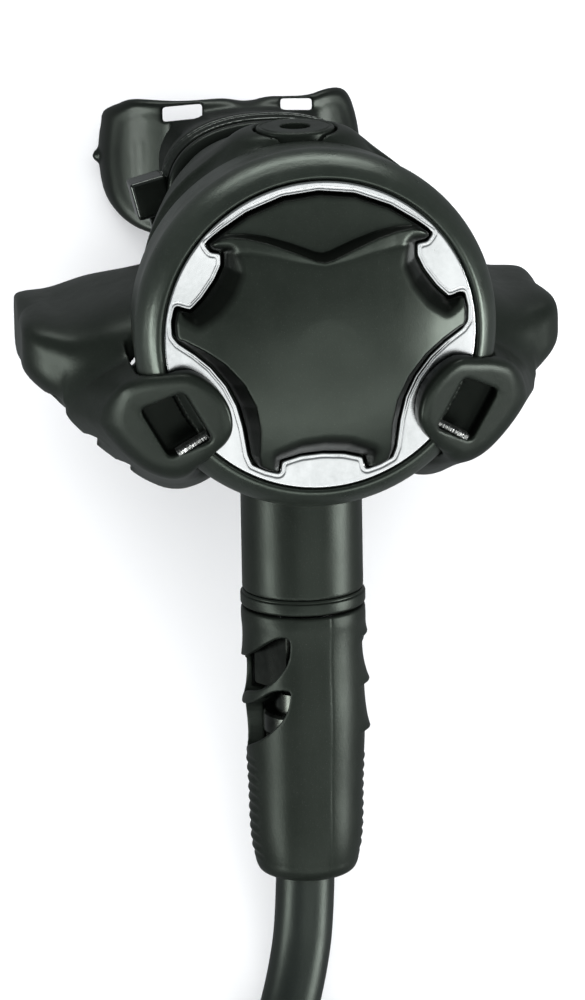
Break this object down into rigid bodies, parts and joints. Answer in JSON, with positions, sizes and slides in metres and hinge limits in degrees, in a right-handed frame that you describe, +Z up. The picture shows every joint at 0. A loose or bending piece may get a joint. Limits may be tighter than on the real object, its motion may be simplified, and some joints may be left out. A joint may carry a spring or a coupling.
{
  "type": "scuba regulator second stage with hose",
  "caption": "Diving regulator second stage with round cover, push button, side exhaust wings, mouthpiece and low-pressure hose with swivel and threaded end.",
  "frame": {"origin": "on the table, under the middle of the regulator's box (hose, coil and end fitting not counted)", "axes": "+Z up from the table, +Y away from the hose towards the mouthpiece side, +X to the right seen from above with the hose pointing towards -Y; the regulator lies on its back, its valve axis tilted 27 degrees down towards the hose"},
  "size_m": [0.1664, 0.3597, 0.1128],
  "materials": {
    "black_plastic": "fine satin, near black",
    "inner_plastic": "satin",
    "bright_plate": "satin bright",
    "steel": "fine",
    "plated_brass": "bright plated",
    "silicone": "translucent grey, matt",
    "mouth_silicone": "glossy soft",
    "seal_rubber": "matt",
    "boot_rubber": "satin",
    "hose_rubber": "satin, smooth"
  },
  "bodies": {
    "hose_assembly": {"swivel_stem": "plated_brass", "swivel_seal": "seal_rubber", "crimp_sleeve": "plated_brass", "hose_protector": "boot_rubber", "hose": "hose_rubber", "hose_coil": "hose_rubber", "coil_tie": "boot_rubber", "hose_tail": "hose_rubber", "end_sleeve": "plated_brass", "end_fitting": "plated_brass", "fitting_seal": "seal_rubber"},
    "second_stage": {"cover_ring": "black_plastic", "trim_plate": "bright_plate", "guard_plate": "inner_plastic", "diaphragm": "silicone", "case_shell": "black_plastic", "inlet_lip": "black_plastic", "exhaust_flap": "silicone", "exhaust_tee": "black_plastic", "lug_insert": "bright_plate", "valve_tube": "plated_brass", "lever_pin": "steel", "valve_seat": "plated_brass", "top_plug": "black_plastic", "plug_seal": "seal_rubber", "hose_nut": "plated_brass", "mouthpiece": "mouth_silicone", "mouthpiece_tie": "mouth_silicone", "button_spring": "steel", "poppet_spring": "steel"},
    "button": {"purge_button": "black_plastic"},
    "membrane_disc": {"diaphragm_disc": "inner_plastic"},
    "lever": {"demand_lever": "steel"},
    "poppet": {"poppet": "inner_plastic", "poppet_pad": "seal_rubber"}
  },
  "joints": [
    {"name": "hose_swivel", "type": "hinge", "parent": "hose_assembly", "child": "second_stage", "pos_m": [0, -0.0397, 0.04049], "axis": [0, 0.891, 0.454], "continuous": true},
    {"name": "purge_push", "type": "slide", "parent": "second_stage", "child": "button", "axis": [0, 0.454, -0.891], "range_m": [0, 0.0026], "stiffness_N_per_m": 1500, "springref_m": -0.001, "deforming": ["button_spring", "diaphragm", "poppet_spring"]},
    {"name": "disc_sink", "type": "slide", "parent": "second_stage", "child": "membrane_disc", "axis": [0, 0.454, -0.891], "range_m": [0, 0.0027]},
    {"name": "lever_tilt", "type": "hinge", "parent": "second_stage", "child": "lever", "pos_m": [0, 0.03288, 0.08747], "axis": [1, 0, 0], "range_deg": [0, 9]},
    {"name": "poppet_slide", "type": "slide", "parent": "second_stage", "child": "poppet", "axis": [0, 0.891, 0.454], "range_m": [0, 0.0009]}
  ],
  "couplings": [
    {"joint": "disc_sink", "follows": "purge_push", "ratio": 1},
    {"joint": "lever_tilt", "follows": "purge_push", "rad_per_m": 58},
    {"joint": "poppet_slide", "follows": "purge_push", "ratio": 0.32}
  ]
}
